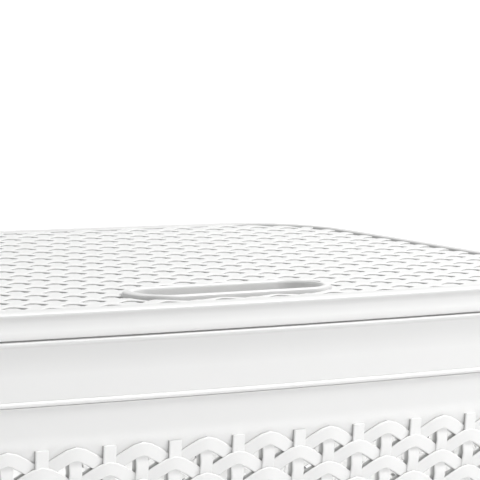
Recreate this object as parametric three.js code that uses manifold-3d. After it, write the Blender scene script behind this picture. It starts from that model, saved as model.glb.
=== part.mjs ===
// Laundry hamper with a hinged lid, moulded in plastic with a woven-rattan pattern.
// Millimetres, +Z up, front towards -Y, standing on z = 0.
// Knock-down build: a base tray, four wall panels joined by corner channels, a top collar
// and a lid that turns on two pins behind the collar.
import * as THREE from 'three';
import { mergeVertices } from 'three/addons/utils/BufferGeometryUtils.js';
import Module from 'manifold-3d';

const wasm = await Module();
wasm.setup();

// ---- driving dimensions ----
const WIDTH = 445;
const DEPTH = 318;
const HEIGHT = 584;
const CORNER_RADIUS = 55;
const FRONT_BOW_RADIUS = 2790;
const SIDE_BOW_RADIUS = 4170;
const DRAFT_DEG = 2.2;
const SEAM_DEG = 56;
const GAP = 0.3;

const LID_SKIRT = 12.4;
const LID_SHELL = 2;
const LID_EDGE_RADIUS = 2.6;
const LID_SEAM = 0.5;
const LID_BORDER = 8.5;
const FIELD_DROP = 1.6;
const LOCATOR_INSET = 7;
const LOCATOR_DROP = 3.5;
const LOCATOR_THICKNESS = 1.6;

const SLOT = { length: 100, width: 28, y: -120.6, rimRise: 1.2, rimWall: 3.2, tubeDrop: 9 };

const COLLAR_BOTTOM = 41.9;
const COLLAR_WALL = 2.6;
const COLLAR_INSET = 1.3;
const BEAD_HEIGHT = 2.2;
const BEAD_RISE = 0.9;
const LIP_RISE = 0.5;

const PANEL_INSET = 1.6;
const PANEL_THICKNESS = 2;
const TONGUE_RISE = 19.5;

const BASE = { height: 34, proud: 1.6, wall: 2.4, footWidth: 12, floorBottom: 4, floorTop: 6.2 };
const VENT = { rows: 3, columns: 5, length: 34, width: 7, pitchX: 62, pitchY: 54 };

const FLANGE = { thickness: 1.8, depth: 8, bottom: 44, top: 530 };
const CHANNEL = { wall: 1.6, clearance: 0.3 };

const HAND_HOLE = { length: 100, height: 28, drop: 66 };

const HINGE = { x: 115, y: 163.5, radius: 4.5, lidLength: 20, lugLength: 9, bore: 2.3, pin: 2 };
const HINGE_HEAD = { radius: 3.4, length: 1.6 };
const HINGE_STOP = { openDeg: 105, belowLevelDeg: 7, thickness: 2.4, width: 12 };

const CORNER_STEPS = 10;
const FRONT_STEPS = 8;
const SIDE_STEPS = 4;
const ROUND_STEPS = 20;

const LID_TOP = HEIGHT - SLOT.rimRise;
const DRAFT = THREE.MathUtils.degToRad(DRAFT_DEG);
const SEAM = THREE.MathUtils.degToRad(SEAM_DEG);
const COLLAR_TOP = LID_TOP - LID_SKIRT - LID_SEAM;
const COLLAR_FOOT = LID_TOP - COLLAR_BOTTOM;
const HINGE_Z = LID_TOP - LID_SKIRT - LID_SEAM / 2;
const HAND_HOLE_Z = LID_TOP - HAND_HOLE.drop;
const QUARTER = Math.PI / 2;
// The knuckles stand behind the rear edge, so the whole is moved to centre its box on the origin.
const CENTRE_SHIFT = -(HINGE.y + HINGE.radius - DEPTH / 2) / 2;

// ---- outline: arcs that meet smoothly, found by the direction their outside faces ----
const frontArc = { x: 0, y: FRONT_BOW_RADIUS - DEPTH / 2, radius: FRONT_BOW_RADIUS };
const sideArc = { x: WIDTH / 2 - SIDE_BOW_RADIUS, y: 0, radius: SIDE_BOW_RADIUS };
const cornerArc = findCornerArc();
const frontEnd = Math.atan2(cornerArc.x, frontArc.y + cornerArc.depth);
const sideStart = QUARTER - Math.atan2(cornerArc.depth, cornerArc.x - sideArc.x);

// The corner's centre lies where two circles cross, each one corner radius inside its edge's bow.
function findCornerArc() {
  const reachFront = frontArc.radius - CORNER_RADIUS;
  const reachSide = sideArc.radius - CORNER_RADIUS;
  const apart = Math.hypot(sideArc.x, frontArc.y);
  const along = (reachFront ** 2 - reachSide ** 2 + apart ** 2) / (2 * apart);
  const across = Math.sqrt(reachFront ** 2 - along ** 2);
  const unitX = sideArc.x / apart;
  const unitY = -frontArc.y / apart;
  const x = unitX * along - unitY * across;
  const y = frontArc.y + unitY * along + unitX * across;
  return { x, depth: -y, radius: CORNER_RADIUS };
}

// A point of the outline whose outside faces angle degrees round from the front, moved inwards.
function outlinePoint(angle, inset) {
  const alongX = Math.sin(angle);
  const alongY = -Math.cos(angle);
  const folded = Math.atan2(Math.abs(alongX), Math.abs(alongY));
  const signX = Math.sign(alongX) || 1;
  const signY = Math.sign(alongY) || -1;
  let centre = { x: signX * cornerArc.x, y: signY * cornerArc.depth, radius: cornerArc.radius };
  if (folded < frontEnd) {
    centre = { x: 0, y: -signY * frontArc.y, radius: frontArc.radius };
  } else if (folded > sideStart) {
    centre = { x: signX * sideArc.x, y: 0, radius: sideArc.radius };
  }
  const reach = centre.radius - inset;
  return new THREE.Vector2(centre.x + reach * alongX, centre.y + reach * alongY);
}

function spread(from, to, steps) {
  return Array.from({ length: steps }, (_, i) => from + (i / steps) * (to - from));
}

// Outward directions all the way round, finer round the corners.
function outlineDirections() {
  const quarter = [
    ...spread(0, frontEnd, FRONT_STEPS / 2),
    ...spread(frontEnd, sideStart, CORNER_STEPS),
    ...spread(sideStart, QUARTER, SIDE_STEPS / 2),
  ];
  const half = [...quarter, QUARTER, ...quarter.slice(1).reverse().map((a) => Math.PI - a)];
  return [...half, Math.PI, ...half.slice(1).reverse().map((a) => 2 * Math.PI - a)];
}

const directions = outlineDirections();

// ---- helpers ----
function toSolid(geometry) {
  const bare = geometry.clone();
  bare.deleteAttribute('normal');
  bare.deleteAttribute('uv');
  const merged = mergeVertices(bare, 1e-3);
  return new wasm.Manifold(new wasm.Mesh({
    numProp: 3,
    vertProperties: new Float32Array(merged.attributes.position.array),
    triVerts: new Uint32Array(merged.index.array),
  }));
}

function toGeometry(solid) {
  const mesh = solid.getMesh();
  const geometry = new THREE.BufferGeometry();
  geometry.setAttribute('position', new THREE.BufferAttribute(mesh.vertProperties, 3));
  geometry.setIndex(new THREE.BufferAttribute(mesh.triVerts, 1));
  geometry.computeVertexNormals();
  return geometry;
}

// A ring that follows the outline. The profile is [inset, z] pairs, up the outside first;
// it is turned on a lathe and its rings are then moved onto the outline.
function outlineRing(profile) {
  const latheRadius = 100;
  const points = profile.map(([inset, z]) => new THREE.Vector2(latheRadius - inset, z));
  points.push(points[0].clone());
  const ring = new THREE.LatheGeometry(points, directions.length);
  const position = ring.attributes.position;
  const stepAngle = (2 * Math.PI) / directions.length;
  for (let i = 0; i < position.count; i += 1) {
    const turn = Math.atan2(position.getX(i), position.getZ(i));
    const index = (Math.round(turn / stepAngle) + directions.length) % directions.length;
    const inset = latheRadius - Math.hypot(position.getX(i), position.getZ(i));
    const spot = outlinePoint(directions[index], inset);
    position.setXYZ(i, spot.x, spot.y, position.getY(i));
  }
  return toSolid(ring);
}

function outlineShape(inset) {
  return new THREE.Shape(directions.map((angle) => outlinePoint(angle, inset)));
}

// A long hole with round ends, as a closed path about the origin.
function stadium(length, width, PathClass = THREE.Path) {
  const radius = width / 2;
  const reach = length / 2 - radius;
  const path = new PathClass();
  path.absarc(reach, 0, radius, -QUARTER, QUARTER);
  path.absarc(-reach, 0, radius, QUARTER, 3 * QUARTER);
  path.closePath();
  return path;
}

function prism(shape, bottom, top) {
  const options = { depth: top - bottom, bevelEnabled: false, curveSegments: ROUND_STEPS / 2 };
  return new THREE.ExtrudeGeometry(shape, options).translate(0, 0, bottom);
}

function block(low, high) {
  const size = high.map((value, i) => value - low[i]);
  const middle = high.map((value, i) => (value + low[i]) / 2);
  return toSolid(new THREE.BoxGeometry(...size).translate(...middle));
}

// A round bar along X.
function bar(radius, from, to, y, z) {
  const cylinder = new THREE.CylinderGeometry(radius, radius, to - from, ROUND_STEPS);
  return toSolid(cylinder.rotateZ(QUARTER).translate((from + to) / 2, y, z));
}

function panelInset(z) {
  return PANEL_INSET + (COLLAR_FOOT - z) * Math.tan(DRAFT);
}

// Puts a vertical bar's geometry at a corner seam, leaning outwards with the draft.
// Its own +Y points outwards; inset is where its origin lies at height z.
function atSeam(geometry, angle, inset, z) {
  const spot = outlinePoint(angle, inset);
  geometry.rotateX(-DRAFT);
  geometry.rotateZ(angle + Math.PI);
  return geometry.translate(spot.x, spot.y, z);
}

const seamAngles = {
  front_right: SEAM,
  front_left: -SEAM,
  rear_right: Math.PI - SEAM,
  rear_left: Math.PI + SEAM,
};

// ---- lid ----
function makeLid() {
  const skirtFoot = LID_TOP - LID_SKIRT;
  const fieldTop = LID_TOP - FIELD_DROP;
  const edge = spread(0, QUARTER, 4).concat(QUARTER).map((turn) => [
    LID_EDGE_RADIUS * (1 - Math.cos(turn)),
    LID_TOP - LID_EDGE_RADIUS * (1 - Math.sin(turn)),
  ]);
  const skirt = outlineRing([
    [0.6, skirtFoot],
    [0, skirtFoot + 0.8],
    ...edge,
    [LID_BORDER, LID_TOP],
    [LID_BORDER + 1, fieldTop],
    [LID_BORDER + 1, fieldTop - LID_SHELL],
    [LOCATOR_INSET, fieldTop - LID_SHELL],
    [LOCATOR_INSET - 1, LID_TOP - LID_SHELL],
    [LID_SHELL, LID_TOP - LID_SHELL],
    [LID_SHELL, skirtFoot],
  ]);
  const locator = outlineRing([
    [LOCATOR_INSET, skirtFoot - LOCATOR_DROP],
    [LOCATOR_INSET, fieldTop - LID_SHELL / 2],
    [LOCATOR_INSET + LOCATOR_THICKNESS, fieldTop - LID_SHELL / 2],
    [LOCATOR_INSET + LOCATOR_THICKNESS, skirtFoot - LOCATOR_DROP],
  ]);
  const top = toSolid(prism(outlineShape(LID_BORDER + 0.5), fieldTop - LID_SHELL, fieldTop));
  const rimShape = stadium(SLOT.length + 2 * SLOT.rimWall, SLOT.width + 2 * SLOT.rimWall, THREE.Shape);
  const tube = prism(rimShape, LID_TOP - SLOT.tubeDrop, HEIGHT).translate(0, SLOT.y, 0);
  const holeShape = stadium(SLOT.length, SLOT.width, THREE.Shape);
  const hole = prism(holeShape, LID_TOP - 2 * SLOT.tubeDrop, HEIGHT + 1).translate(0, SLOT.y, 0);
  let lid = skirt.add(top).add(locator).add(toSolid(tube)).subtract(toSolid(hole));
  for (const side of [-1, 1]) {
    lid = lid.add(lidKnuckle(side * HINGE.x));
  }
  for (const side of [-1, 1]) {
    const reach = HINGE.lidLength / 2 + 1;
    const middle = side * HINGE.x;
    lid = lid.subtract(bar(HINGE.bore, middle - reach, middle + reach, HINGE.y, HINGE_Z));
  }
  return lid;
}

// The lid's middle knuckle, its web into the skirt and the nib that stops it when open.
function lidKnuckle(x) {
  const half = HINGE.lidLength / 2;
  const rear = outlineRearY(Math.abs(x) + half);
  const knuckle = bar(HINGE.radius, x - half, x + half, HINGE.y, HINGE_Z);
  const web = block(
    [x - half, rear - LID_SHELL * 0.8, HINGE_Z + 0.9],
    [x + half, HINGE.y, HINGE_Z + HINGE.radius],
  );
  return knuckle.add(web).add(stopNib(x));
}

// Points down and back while the lid is shut. With the lid fully open it points forwards, a
// little below level, and its end meets the collar's lip.
function stopNib(x) {
  const below = THREE.MathUtils.degToRad(HINGE_STOP.belowLevelDeg);
  const lipFace = outlineRearY(Math.abs(x) - HINGE_STOP.width / 2) - COLLAR_INSET + LIP_RISE;
  const room = HINGE.y - lipFace - GAP - (HINGE_STOP.thickness / 2) * Math.sin(below);
  const reach = room / Math.cos(below);
  const nib = new THREE.BoxGeometry(HINGE_STOP.width, reach, HINGE_STOP.thickness);
  nib.translate(0, reach / 2, 0);
  nib.rotateX(Math.PI + below + THREE.MathUtils.degToRad(HINGE_STOP.openDeg));
  return toSolid(nib.translate(x, HINGE.y, HINGE_Z));
}

// Where the rear edge of the outline lies at a distance x from the middle.
function outlineRearY(x) {
  return Math.sqrt(frontArc.radius ** 2 - x ** 2) - frontArc.y;
}

// ---- collar ----
function makeCollar() {
  const beadTop = COLLAR_FOOT + BEAD_HEIGHT;
  const lipFoot = COLLAR_TOP - 2.4;
  const inner = COLLAR_INSET + COLLAR_WALL;
  let collar = outlineRing([
    [COLLAR_INSET - BEAD_RISE * 0.7, COLLAR_FOOT],
    [COLLAR_INSET - BEAD_RISE, COLLAR_FOOT + BEAD_HEIGHT / 2],
    [COLLAR_INSET - BEAD_RISE * 0.7, beadTop],
    [COLLAR_INSET, beadTop + 0.2],
    [COLLAR_INSET, COLLAR_TOP - 9],
    [COLLAR_INSET + 0.8, COLLAR_TOP - 5.5],
    [COLLAR_INSET + 0.5, lipFoot - 0.6],
    [COLLAR_INSET - 0.4, lipFoot + 0.4],
    [COLLAR_INSET - LIP_RISE, COLLAR_TOP - 0.8],
    [COLLAR_INSET + 0.3, COLLAR_TOP],
    [inner, COLLAR_TOP],
    [inner, COLLAR_FOOT],
  ]);
  const half = HINGE.lidLength / 2 + GAP + 0.1;
  for (const side of [-1, 1]) {
    for (const end of [-1, 1]) {
      const start = side * HINGE.x + end * half;
      const stop = start + end * HINGE.lugLength;
      collar = collar.add(collarLug(Math.min(start, stop), Math.max(start, stop)));
    }
  }
  return collar;
}

function collarLug(from, to) {
  const rear = outlineRearY(Math.max(Math.abs(from), Math.abs(to))) - COLLAR_INSET;
  const lug = bar(HINGE.radius, from, to, HINGE.y, HINGE_Z);
  const web = block(
    [from, rear - COLLAR_WALL * 0.6, HINGE_Z - 2 * HINGE.radius],
    [to, HINGE.y, HINGE_Z - 0.9],
  );
  const bore = bar(HINGE.bore, from - 1, to + 1, HINGE.y, HINGE_Z);
  return lug.add(web).subtract(bore);
}

// ---- hinge pins: a shank with one domed head ----
function makePin(side) {
  const half = HINGE.lidLength / 2 + GAP + 0.1 + HINGE.lugLength;
  const chamfer = 0.6;
  const profile = [
    [0, -half],
    [HINGE.pin - chamfer, -half],
    [HINGE.pin, -half + chamfer],
    [HINGE.pin, half + GAP],
    [HINGE_HEAD.radius, half + GAP],
    [HINGE_HEAD.radius, half + GAP + HINGE_HEAD.length * 0.6],
    [HINGE_HEAD.radius - chamfer, half + GAP + HINGE_HEAD.length],
    [0, half + GAP + HINGE_HEAD.length],
  ].map(([radius, height]) => new THREE.Vector2(radius, height));
  const pin = new THREE.LatheGeometry(profile, ROUND_STEPS).rotateZ(-side * QUARTER);
  return toSolid(pin.translate(side * HINGE.x, HINGE.y, HINGE_Z));
}

// ---- walls ----
// One ring with inward ribs at the four seams; each wall is the part of it between two seams.
function makeWallRing() {
  const foot = BASE.floorTop + GAP;
  const step = BASE.height + GAP;
  const baseInside = BASE.wall - BASE.proud + GAP;
  const shoulder = COLLAR_FOOT - GAP;
  const tongueOut = COLLAR_INSET + COLLAR_WALL + GAP + 0.1;
  const tongueIn = tongueOut + 2.2;
  let ring = outlineRing([
    [panelInset(foot) + baseInside, foot],
    [panelInset(step) + baseInside, step],
    [panelInset(step), step],
    [PANEL_INSET, shoulder],
    [tongueOut, shoulder],
    [tongueOut, shoulder + TONGUE_RISE],
    [tongueIn, shoulder + TONGUE_RISE],
    [tongueIn, shoulder - 3],
    [panelInset(shoulder - 12) + PANEL_THICKNESS, shoulder - 12],
    [panelInset(step) + PANEL_THICKNESS, step],
    [panelInset(foot) + PANEL_THICKNESS + 0.4, foot],
  ]);
  const ribWidth = 2 * FLANGE.thickness + GAP;
  for (const angle of Object.values(seamAngles)) {
    const rib = new THREE.BoxGeometry(ribWidth, FLANGE.depth + 1, FLANGE.top - FLANGE.bottom);
    rib.translate(0, -(FLANGE.depth - 1) / 2, (FLANGE.top - FLANGE.bottom) / 2);
    const inset = panelInset(FLANGE.bottom) + PANEL_THICKNESS;
    ring = ring.add(toSolid(atSeam(rib, angle, inset, FLANGE.bottom)));
  }
  return ring;
}

// A wedge of space between two seams, pulled back from each by half the gap.
function wedge(fromAngle, toAngle) {
  const reach = 120;
  const corner = (angle, side) => {
    const centre = outlinePoint(angle, CORNER_RADIUS);
    return centre.add(new THREE.Vector2(Math.cos(angle), Math.sin(angle)).multiplyScalar((side * GAP) / 2));
  };
  const outward = (angle) => new THREE.Vector2(Math.sin(angle), -Math.cos(angle)).multiplyScalar(reach);
  const start = corner(fromAngle, 1);
  const stop = corner(toAngle, -1);
  const points = [start.clone().add(outward(fromAngle)), stop.clone().add(outward(toAngle)), stop, start];
  return toSolid(prism(new THREE.Shape(points), -1, HEIGHT));
}

function makeSideWall(ring, fromAngle, toAngle) {
  const hole = prism(stadium(HAND_HOLE.length, HAND_HOLE.height, THREE.Shape), -WIDTH, WIDTH);
  hole.rotateZ(QUARTER).rotateY(QUARTER).translate(0, 0, HAND_HOLE_Z);
  return ring.intersect(wedge(fromAngle, toAngle)).subtract(toSolid(hole));
}

// ---- corner channels: a U strip pushed over both walls' flanges from inside ----
function makeChannel(angle) {
  const innerHalf = FLANGE.thickness + GAP / 2 + CHANNEL.clearance;
  const outerHalf = innerHalf + CHANNEL.wall;
  const mouth = -0.6;
  const innerBack = -FLANGE.depth - CHANNEL.clearance;
  const outerBack = innerBack - CHANNEL.wall;
  const section = new THREE.Shape([
    [-outerHalf, mouth],
    [-outerHalf, outerBack],
    [outerHalf, outerBack],
    [outerHalf, mouth],
    [innerHalf, mouth],
    [innerHalf, innerBack],
    [-innerHalf, innerBack],
    [-innerHalf, mouth],
  ].map(([x, y]) => new THREE.Vector2(x, y)));
  const strip = prism(section, 0, FLANGE.top - FLANGE.bottom);
  return toSolid(atSeam(strip, angle, panelInset(FLANGE.bottom) + PANEL_THICKNESS, FLANGE.bottom));
}

// ---- base tray ----
function makeBase() {
  const top = BASE.height;
  const outer = (z) => panelInset(z) - BASE.proud;
  const inner = (z) => outer(z) + BASE.wall;
  const skirt = outlineRing([
    [outer(0), 0],
    [outer(top - BEAD_HEIGHT), top - BEAD_HEIGHT - 0.2],
    [outer(top) - BEAD_RISE * 0.7, top - BEAD_HEIGHT],
    [outer(top) - BEAD_RISE, top - BEAD_HEIGHT / 2],
    [outer(top) - BEAD_RISE * 0.7, top],
    [inner(top), top],
    [inner(BASE.floorTop), BASE.floorTop - 1],
    [outer(0) + BASE.footWidth, BASE.floorTop - 1],
    [outer(0) + BASE.footWidth, 0],
  ]);
  const floorShape = outlineShape(outer(0) + BASE.wall / 2);
  for (let row = 0; row < VENT.rows; row += 1) {
    for (let column = 0; column < VENT.columns; column += 1) {
      const x = (column - (VENT.columns - 1) / 2) * VENT.pitchX;
      const y = (row - (VENT.rows - 1) / 2) * VENT.pitchY;
      const points = stadium(VENT.length, VENT.width).getPoints(4);
      floorShape.holes.push(new THREE.Path(points.map((point) => point.add(new THREE.Vector2(x, y)))));
    }
  }
  return skirt.add(toSolid(prism(floorShape, BASE.floorBottom, BASE.floorTop)));
}

// ---- materials and assembly ----
function plastic(color, roughness) {
  return new THREE.MeshStandardMaterial({ color, roughness, metalness: 0 });
}

const whitePlastic = plastic(0xf4f4f2, 0.38);
const innerPlastic = plastic(0xeeeeec, 0.45);
const pinPlastic = plastic(0xe6e6e4, 0.35);

const hamper = new THREE.Group();
hamper.name = 'laundry_hamper';
hamper.position.y = CENTRE_SHIFT;

function addPiece(name, solid, material) {
  const mesh = new THREE.Mesh(toGeometry(solid), material);
  mesh.name = name;
  hamper.add(mesh);
}

const wallRing = makeWallRing();
const { front_right: frontRight, front_left: frontLeft, rear_right: rearRight, rear_left: rearLeft } = seamAngles;

addPiece('base_tray', makeBase(), whitePlastic);
addPiece('front_wall', wallRing.intersect(wedge(frontLeft, frontRight)), whitePlastic);
addPiece('rear_wall', wallRing.intersect(wedge(rearRight, rearLeft)), whitePlastic);
addPiece('right_wall', makeSideWall(wallRing, frontRight, rearRight), whitePlastic);
addPiece('left_wall', makeSideWall(wallRing, rearLeft, frontLeft), whitePlastic);
for (const [corner, angle] of Object.entries(seamAngles)) {
  addPiece(`${corner}_channel`, makeChannel(angle), innerPlastic);
}
addPiece('top_collar', makeCollar(), whitePlastic);
addPiece('left_hinge_pin', makePin(-1), pinPlastic);
addPiece('right_hinge_pin', makePin(1), pinPlastic);
addPiece('lid', makeLid(), whitePlastic);

export default hamper;
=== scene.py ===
# Laundry hamper with a hinged lid, white moulded plastic with a woven-rattan pattern.
# Metres, +Z up, front towards -Y. Every piece is a surface worked out from a few driving sizes.
import math
import bpy
import numpy as np
from mathutils import Matrix, Vector


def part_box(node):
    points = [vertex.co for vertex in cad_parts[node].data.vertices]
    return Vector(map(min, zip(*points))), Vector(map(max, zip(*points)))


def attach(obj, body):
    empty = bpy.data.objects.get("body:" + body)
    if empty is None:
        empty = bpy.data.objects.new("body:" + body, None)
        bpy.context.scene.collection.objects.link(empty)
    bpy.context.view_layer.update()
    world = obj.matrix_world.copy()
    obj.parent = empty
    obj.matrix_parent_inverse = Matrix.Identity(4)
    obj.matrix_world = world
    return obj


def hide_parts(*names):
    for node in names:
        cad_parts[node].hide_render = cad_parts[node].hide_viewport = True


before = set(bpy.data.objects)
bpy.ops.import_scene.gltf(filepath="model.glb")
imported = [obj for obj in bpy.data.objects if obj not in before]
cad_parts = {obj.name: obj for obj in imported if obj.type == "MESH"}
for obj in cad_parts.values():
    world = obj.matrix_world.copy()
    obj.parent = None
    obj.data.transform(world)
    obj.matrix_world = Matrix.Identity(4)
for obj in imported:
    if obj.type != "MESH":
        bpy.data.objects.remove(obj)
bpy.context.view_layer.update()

mm = 0.001
quarterTurn = math.pi / 2
print("frame loaded:", len(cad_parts), "nodes")

# the hamper's plan and side lines, as the frame has them
hamper = {
    "depth": 318 * mm,            # front edge to rear edge of the lid, without the hinges
    "cornerRadius": 55 * mm,
    "frontBow": 2790 * mm,        # radius of the bowed front and rear edges
    "sideBow": 4170 * mm,
    "draft": math.tan(math.radians(2.2)),
    "seamAngle": math.radians(56),  # where the walls meet, turned from straight ahead
    "slotRise": 1.2 * mm,         # the hand slot's rim above the lid's border
    "skirt": 12.4 * mm,
    "lidSeam": 0.5 * mm,
    "panelInset": 1.6 * mm,       # wall's outside behind the lid's edge, at the collar's foot
}

lidLow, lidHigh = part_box("lid")
baseLow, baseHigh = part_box("base_tray")
width = lidHigh.x - lidLow.x
centreY = lidLow.y + hamper["depth"] / 2
lidTop = lidHigh.z - hamper["slotRise"]
collarTop = lidTop - hamper["skirt"] - hamper["lidSeam"]
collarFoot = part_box("top_collar")[0].z


def cornerCentre():
    # the corner arc lies inside both bows: its centre is where two circles cross
    frontY = hamper["frontBow"] - hamper["depth"] / 2
    sideX = width / 2 - hamper["sideBow"]
    reachFront = hamper["frontBow"] - hamper["cornerRadius"]
    reachSide = hamper["sideBow"] - hamper["cornerRadius"]
    apart = math.hypot(sideX, frontY)
    along = (reachFront ** 2 - reachSide ** 2 + apart ** 2) / (2 * apart)
    across = math.sqrt(reachFront ** 2 - along ** 2)
    x = sideX / apart * along + frontY / apart * across
    y = frontY - frontY / apart * along + sideX / apart * across
    return x, -y


cornerX, cornerY = cornerCentre()
frontCentre = hamper["frontBow"] - hamper["depth"] / 2
sideCentre = width / 2 - hamper["sideBow"]
frontEnd = math.atan2(cornerX, frontCentre + cornerY)
sideStart = quarterTurn - math.atan2(cornerY, cornerX - sideCentre)


def planPoint(angle, inset):
    # point of the plan outline whose outside faces angle round from the front, moved inwards:
    # centre of that arc plus (radius - inset) times the outward direction
    angle, inset = np.broadcast_arrays(angle, inset)
    outX, outY = np.sin(angle), -np.cos(angle)
    folded = np.arctan2(np.abs(outX), np.abs(outY))
    signX = np.where(outX < 0, -1.0, 1.0)
    signY = np.where(outY > 0, 1.0, -1.0)
    onFront, onSide = folded < frontEnd, folded > sideStart
    x = np.where(onFront, 0.0, signX * np.where(onSide, sideCentre, cornerX))
    y = np.where(onFront, -signY * frontCentre, np.where(onSide, 0.0, signY * cornerY))
    radius = np.where(onFront, hamper["frontBow"],
                      np.where(onSide, hamper["sideBow"], hamper["cornerRadius"])) - inset
    return np.stack([x + radius * outX, centreY + y + radius * outY], -1)


def arcLength(angle, inset):
    # length along the outline from the middle of the front to a direction within the first quarter
    front = np.minimum(angle, frontEnd) * (hamper["frontBow"] - inset)
    corner = np.clip(angle - frontEnd, 0, sideStart - frontEnd) * (hamper["cornerRadius"] - inset)
    side = np.maximum(angle - sideStart, 0) * (hamper["sideBow"] - inset)
    return front + corner + side


def arcAngle(length, inset):
    # the reverse of arcLength
    frontRadius, cornerRadius, sideRadius = (hamper[n] - inset for n in ("frontBow", "cornerRadius", "sideBow"))
    frontLength = frontEnd * frontRadius
    cornerLength = (sideStart - frontEnd) * cornerRadius
    front = np.minimum(length, frontLength) / frontRadius
    corner = np.clip(length - frontLength, 0, cornerLength) / cornerRadius
    side = np.maximum(length - frontLength - cornerLength, 0) / sideRadius
    return front + corner + side


# meshes
def makePiece(name, parts, sharpDegrees=32):
    # parts is a list of (points, faces); faces is a list of arrays with one row of corners each
    points, loops, sizes, first = [], [], [], 0
    for shape, faceSets in parts:
        flat = shape.reshape(-1, 3)
        for faces in faceSets:
            loops.append((faces + first).ravel())
            sizes.append(np.full(len(faces), faces.shape[1]))
        points.append(flat)
        first += len(flat)
    points, loops, sizes = np.concatenate(points), np.concatenate(loops), np.concatenate(sizes)
    mesh = bpy.data.meshes.new(name)
    mesh.vertices.add(len(points))
    mesh.vertices.foreach_set("co", points.astype(np.float32).ravel())
    mesh.loops.add(len(loops))
    mesh.loops.foreach_set("vertex_index", loops.astype(np.int32))
    mesh.polygons.add(len(sizes))
    starts = np.concatenate([[0], np.cumsum(sizes)[:-1]])
    mesh.polygons.foreach_set("loop_start", starts.astype(np.int32))
    mesh.update(calc_edges=True)
    mesh.validate()
    mesh.shade_smooth()
    mesh.set_sharp_from_angle(angle=math.radians(sharpDegrees))
    piece = bpy.data.objects.new(name, mesh)
    bpy.context.scene.collection.objects.link(piece)
    return piece


def outwards(shape, faceSets):
    # turns every face round if the shape's volume, summed over its faces, comes out negative
    flat, volume = shape.reshape(-1, 3), 0.0
    flat = flat - flat.mean(0)
    for faces in faceSets:
        corners = flat[faces]
        for i in range(1, faces.shape[1] - 1):
            volume += np.einsum("ij,ij->", corners[:, 0], np.cross(corners[:, i], corners[:, i + 1]))
    return shape, [faces[:, ::-1] for faces in faceSets] if volume < 0 else faceSets


def loopSurface(points):
    # points[around, along]: closed both ways, like a bent ring
    around, along = points.shape[:2]
    i, j = np.meshgrid(np.arange(around), np.arange(along), indexing="ij")
    nextI, nextJ = (i + 1) % around, (j + 1) % along
    corners = [i * along + j, nextI * along + j, nextI * along + nextJ, i * along + nextJ]
    return outwards(points, [np.stack([c.ravel() for c in corners], -1)])


def sweptSurface(points):
    # points[copy, station, section]: each copy is a section carried along stations and capped
    copies, stations, section = points.shape[:3]
    c, s, k = np.meshgrid(np.arange(copies), np.arange(stations - 1), np.arange(section), indexing="ij")
    base, nextK = c * stations * section, (k + 1) % section
    corners = [base + s * section + k, base + (s + 1) * section + k,
               base + (s + 1) * section + nextK, base + s * section + nextK]
    sides = np.stack([v.ravel() for v in corners], -1)
    first = (np.arange(copies) * stations * section)[:, None] + np.arange(section)[None, :]
    last = first + (stations - 1) * section
    return outwards(points, [sides, first, last[:, ::-1]])


def softLine(points, radius, steps=4, closed=False):
    # rounds every corner of a line of points with a quadratic curve that starts and ends radius away
    points = np.array(points, float)
    count, result = len(points), []
    for i in range(count):
        if not closed and i in (0, count - 1):
            result.append(points[i][None])
            continue
        here, before, after = points[i], points[i - 1], points[(i + 1) % count]
        back, ahead = before - here, after - here
        backLength, aheadLength = np.linalg.norm(back), np.linalg.norm(ahead)
        start = here + back / backLength * min(radius, 0.45 * backLength)
        end = here + ahead / aheadLength * min(radius, 0.45 * aheadLength)
        t = np.linspace(0, 1, steps + 1)[:, None]
        result.append((1 - t) ** 2 * start + 2 * t * (1 - t) * here + t ** 2 * end)
    return np.concatenate(result)


def planAngles(frontSteps, cornerSteps, sideSteps):
    # directions round the whole outline: each quarter is split evenly along its front, corner and side
    quarter = np.concatenate([
        np.linspace(0, frontEnd, frontSteps, endpoint=False),
        np.linspace(frontEnd, sideStart, cornerSteps, endpoint=False),
        np.linspace(sideStart, quarterTurn, sideSteps, endpoint=False),
    ])
    half = np.concatenate([quarter, [quarterTurn], math.pi - quarter[:0:-1]])
    return np.concatenate([half, half + math.pi])


def planRing(profile, steps=(16, 24, 10)):
    # a closed profile of (inset, z) carried round the plan outline
    angles = planAngles(*steps)
    profile = np.array(profile)
    spots = planPoint(angles[:, None], profile[None, :, 0])
    heights = np.broadcast_to(profile[None, :, 1:], spots.shape[:2] + (1,))
    return loopSurface(np.concatenate([spots, heights], -1))


def smoothStep(value):
    # three times the square less twice the cube, so it starts and ends level, from 0 to 1
    value = np.clip(value, 0, 1)
    return value * value * (3 - 2 * value)


# materials
class Signal:
    # wraps an output socket, so that shader maths is written as plain expressions
    def __init__(self, sheet, socket):
        self.sheet, self.socket = sheet, socket

    def maths(self, operation, first, second=None):
        values = {0: first} if second is None else {0: first, 1: second}
        return self.sheet.add("ShaderNodeMath", {"operation": operation}, values)[0]

    def __add__(self, other):
        return self.maths("ADD", self, other)

    def __radd__(self, other):
        return self.maths("ADD", other, self)

    def __sub__(self, other):
        return self.maths("SUBTRACT", self, other)

    def __rsub__(self, other):
        return self.maths("SUBTRACT", other, self)

    def __mul__(self, other):
        return self.maths("MULTIPLY", self, other)

    def __rmul__(self, other):
        return self.maths("MULTIPLY", other, self)


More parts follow.
